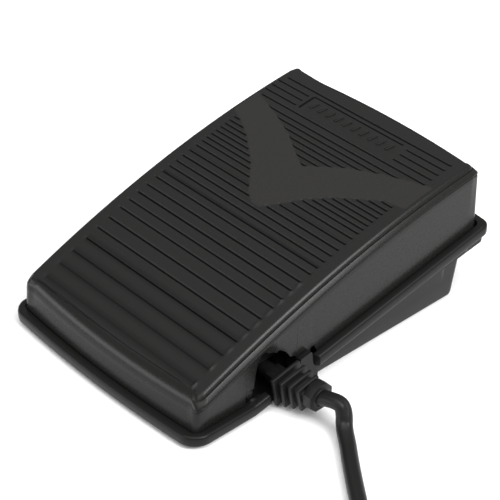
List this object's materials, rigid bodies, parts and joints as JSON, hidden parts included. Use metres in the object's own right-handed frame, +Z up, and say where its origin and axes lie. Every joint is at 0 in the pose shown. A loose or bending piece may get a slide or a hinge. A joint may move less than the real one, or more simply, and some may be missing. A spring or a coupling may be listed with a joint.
{
  "type": "sewing machine foot pedal",
  "caption": "Low wedge-shaped foot pedal with a grooved hinged cover, a base tray, a speed control inside and a cord to the machine.",
  "frame": {"origin": "on the floor under the middle of the pedal, without its cord", "axes": "+Y from the low front edge to the high rear edge, +X to the side the cord leaves, +Z up"},
  "size_m": [0.2211, 0.24, 0.0545],
  "materials": {
    "cover_plastic": "satin black moulding with a fine spark-eroded grain",
    "tray_plastic": "satin black moulding",
    "foot_rubber": "soft matt black rubber",
    "steel": "zinc plated steel",
    "board_laminate": "paper laminate board",
    "aluminium": "extruded aluminium",
    "moulded_black": "moulded phenolic",
    "copper_winding": "enamelled copper winding",
    "capacitor_case": "dipped film capacitor case",
    "capacitor_sleeve": "printed-free capacitor sleeve",
    "resistor_body": "lacquered resistor body",
    "terminal_plastic": "natural nylon",
    "lever_plastic": "natural acetal",
    "brass": "plain brass",
    "cord_pvc": "soft black PVC",
    "lead_pvc": "brown PVC lead insulation",
    "plug_pvc": "moulded black PVC",
    "tie_wire": "plastic-coated twist tie"
  },
  "bodies": {
    "base": {"base_tray": "tray_plastic", "rubber_feet": "foot_rubber", "hinge_rod": "steel", "rod_clips": "steel", "rubber_buffers": "foot_rubber", "return_spring_left": "steel", "return_spring_right": "steel", "circuit_board": "board_laminate", "board_screws": "steel", "heat_sink": "aluminium", "power_triac": "moulded_black", "suppression_choke": "copper_winding", "film_capacitor": "capacitor_case", "timing_capacitor": "capacitor_sleeve", "resistors": "resistor_body", "terminal_block": "terminal_plastic", "terminal_screws": "steel", "potentiometer_body": "moulded_black", "switch_body": "moulded_black", "cord_strain_relief": "cord_pvc", "inner_sheath": "cord_pvc", "cord_clamp": "lever_plastic", "clamp_screws": "steel", "inner_leads": "lead_pvc", "power_cord": "cord_pvc", "cord_tail": "cord_pvc", "cord_coil": "cord_pvc", "cord_tie": "tie_wire", "machine_plug": "plug_pvc", "plug_sleeves": "brass"},
    "cover": {"pedal_cover": "cover_plastic"},
    "wiper": {"wiper_lever": "lever_plastic", "wiper_contact": "brass"},
    "plunger": {"switch_plunger": "lever_plastic"}
  },
  "joints": [
    {"name": "cover_hinge", "type": "hinge", "parent": "base", "child": "cover", "pos_m": [0, -0.0443, 0.008], "axis": [-1, 0, 0], "range_deg": [0, 2.4], "stiffness_Nm_per_rad": 8, "springref_deg": -6.88, "deforming": ["return_spring_left", "return_spring_right"]},
    {"name": "wiper_turn", "type": "hinge", "parent": "base", "child": "wiper", "pos_m": [0, 0.031, 0.019], "axis": [1, 0, 0], "range_deg": [0, 12.5]},
    {"name": "plunger_slide", "type": "slide", "parent": "base", "child": "plunger", "axis": [0, 0, -1], "range_m": [0, 0.0009]}
  ],
  "couplings": [
    {"joint": "wiper_turn", "follows": "cover_hinge", "ratio": 5},
    {"joint": "plunger_slide", "follows": "cover_hinge", "m_per_rad": 0.0205}
  ]
}
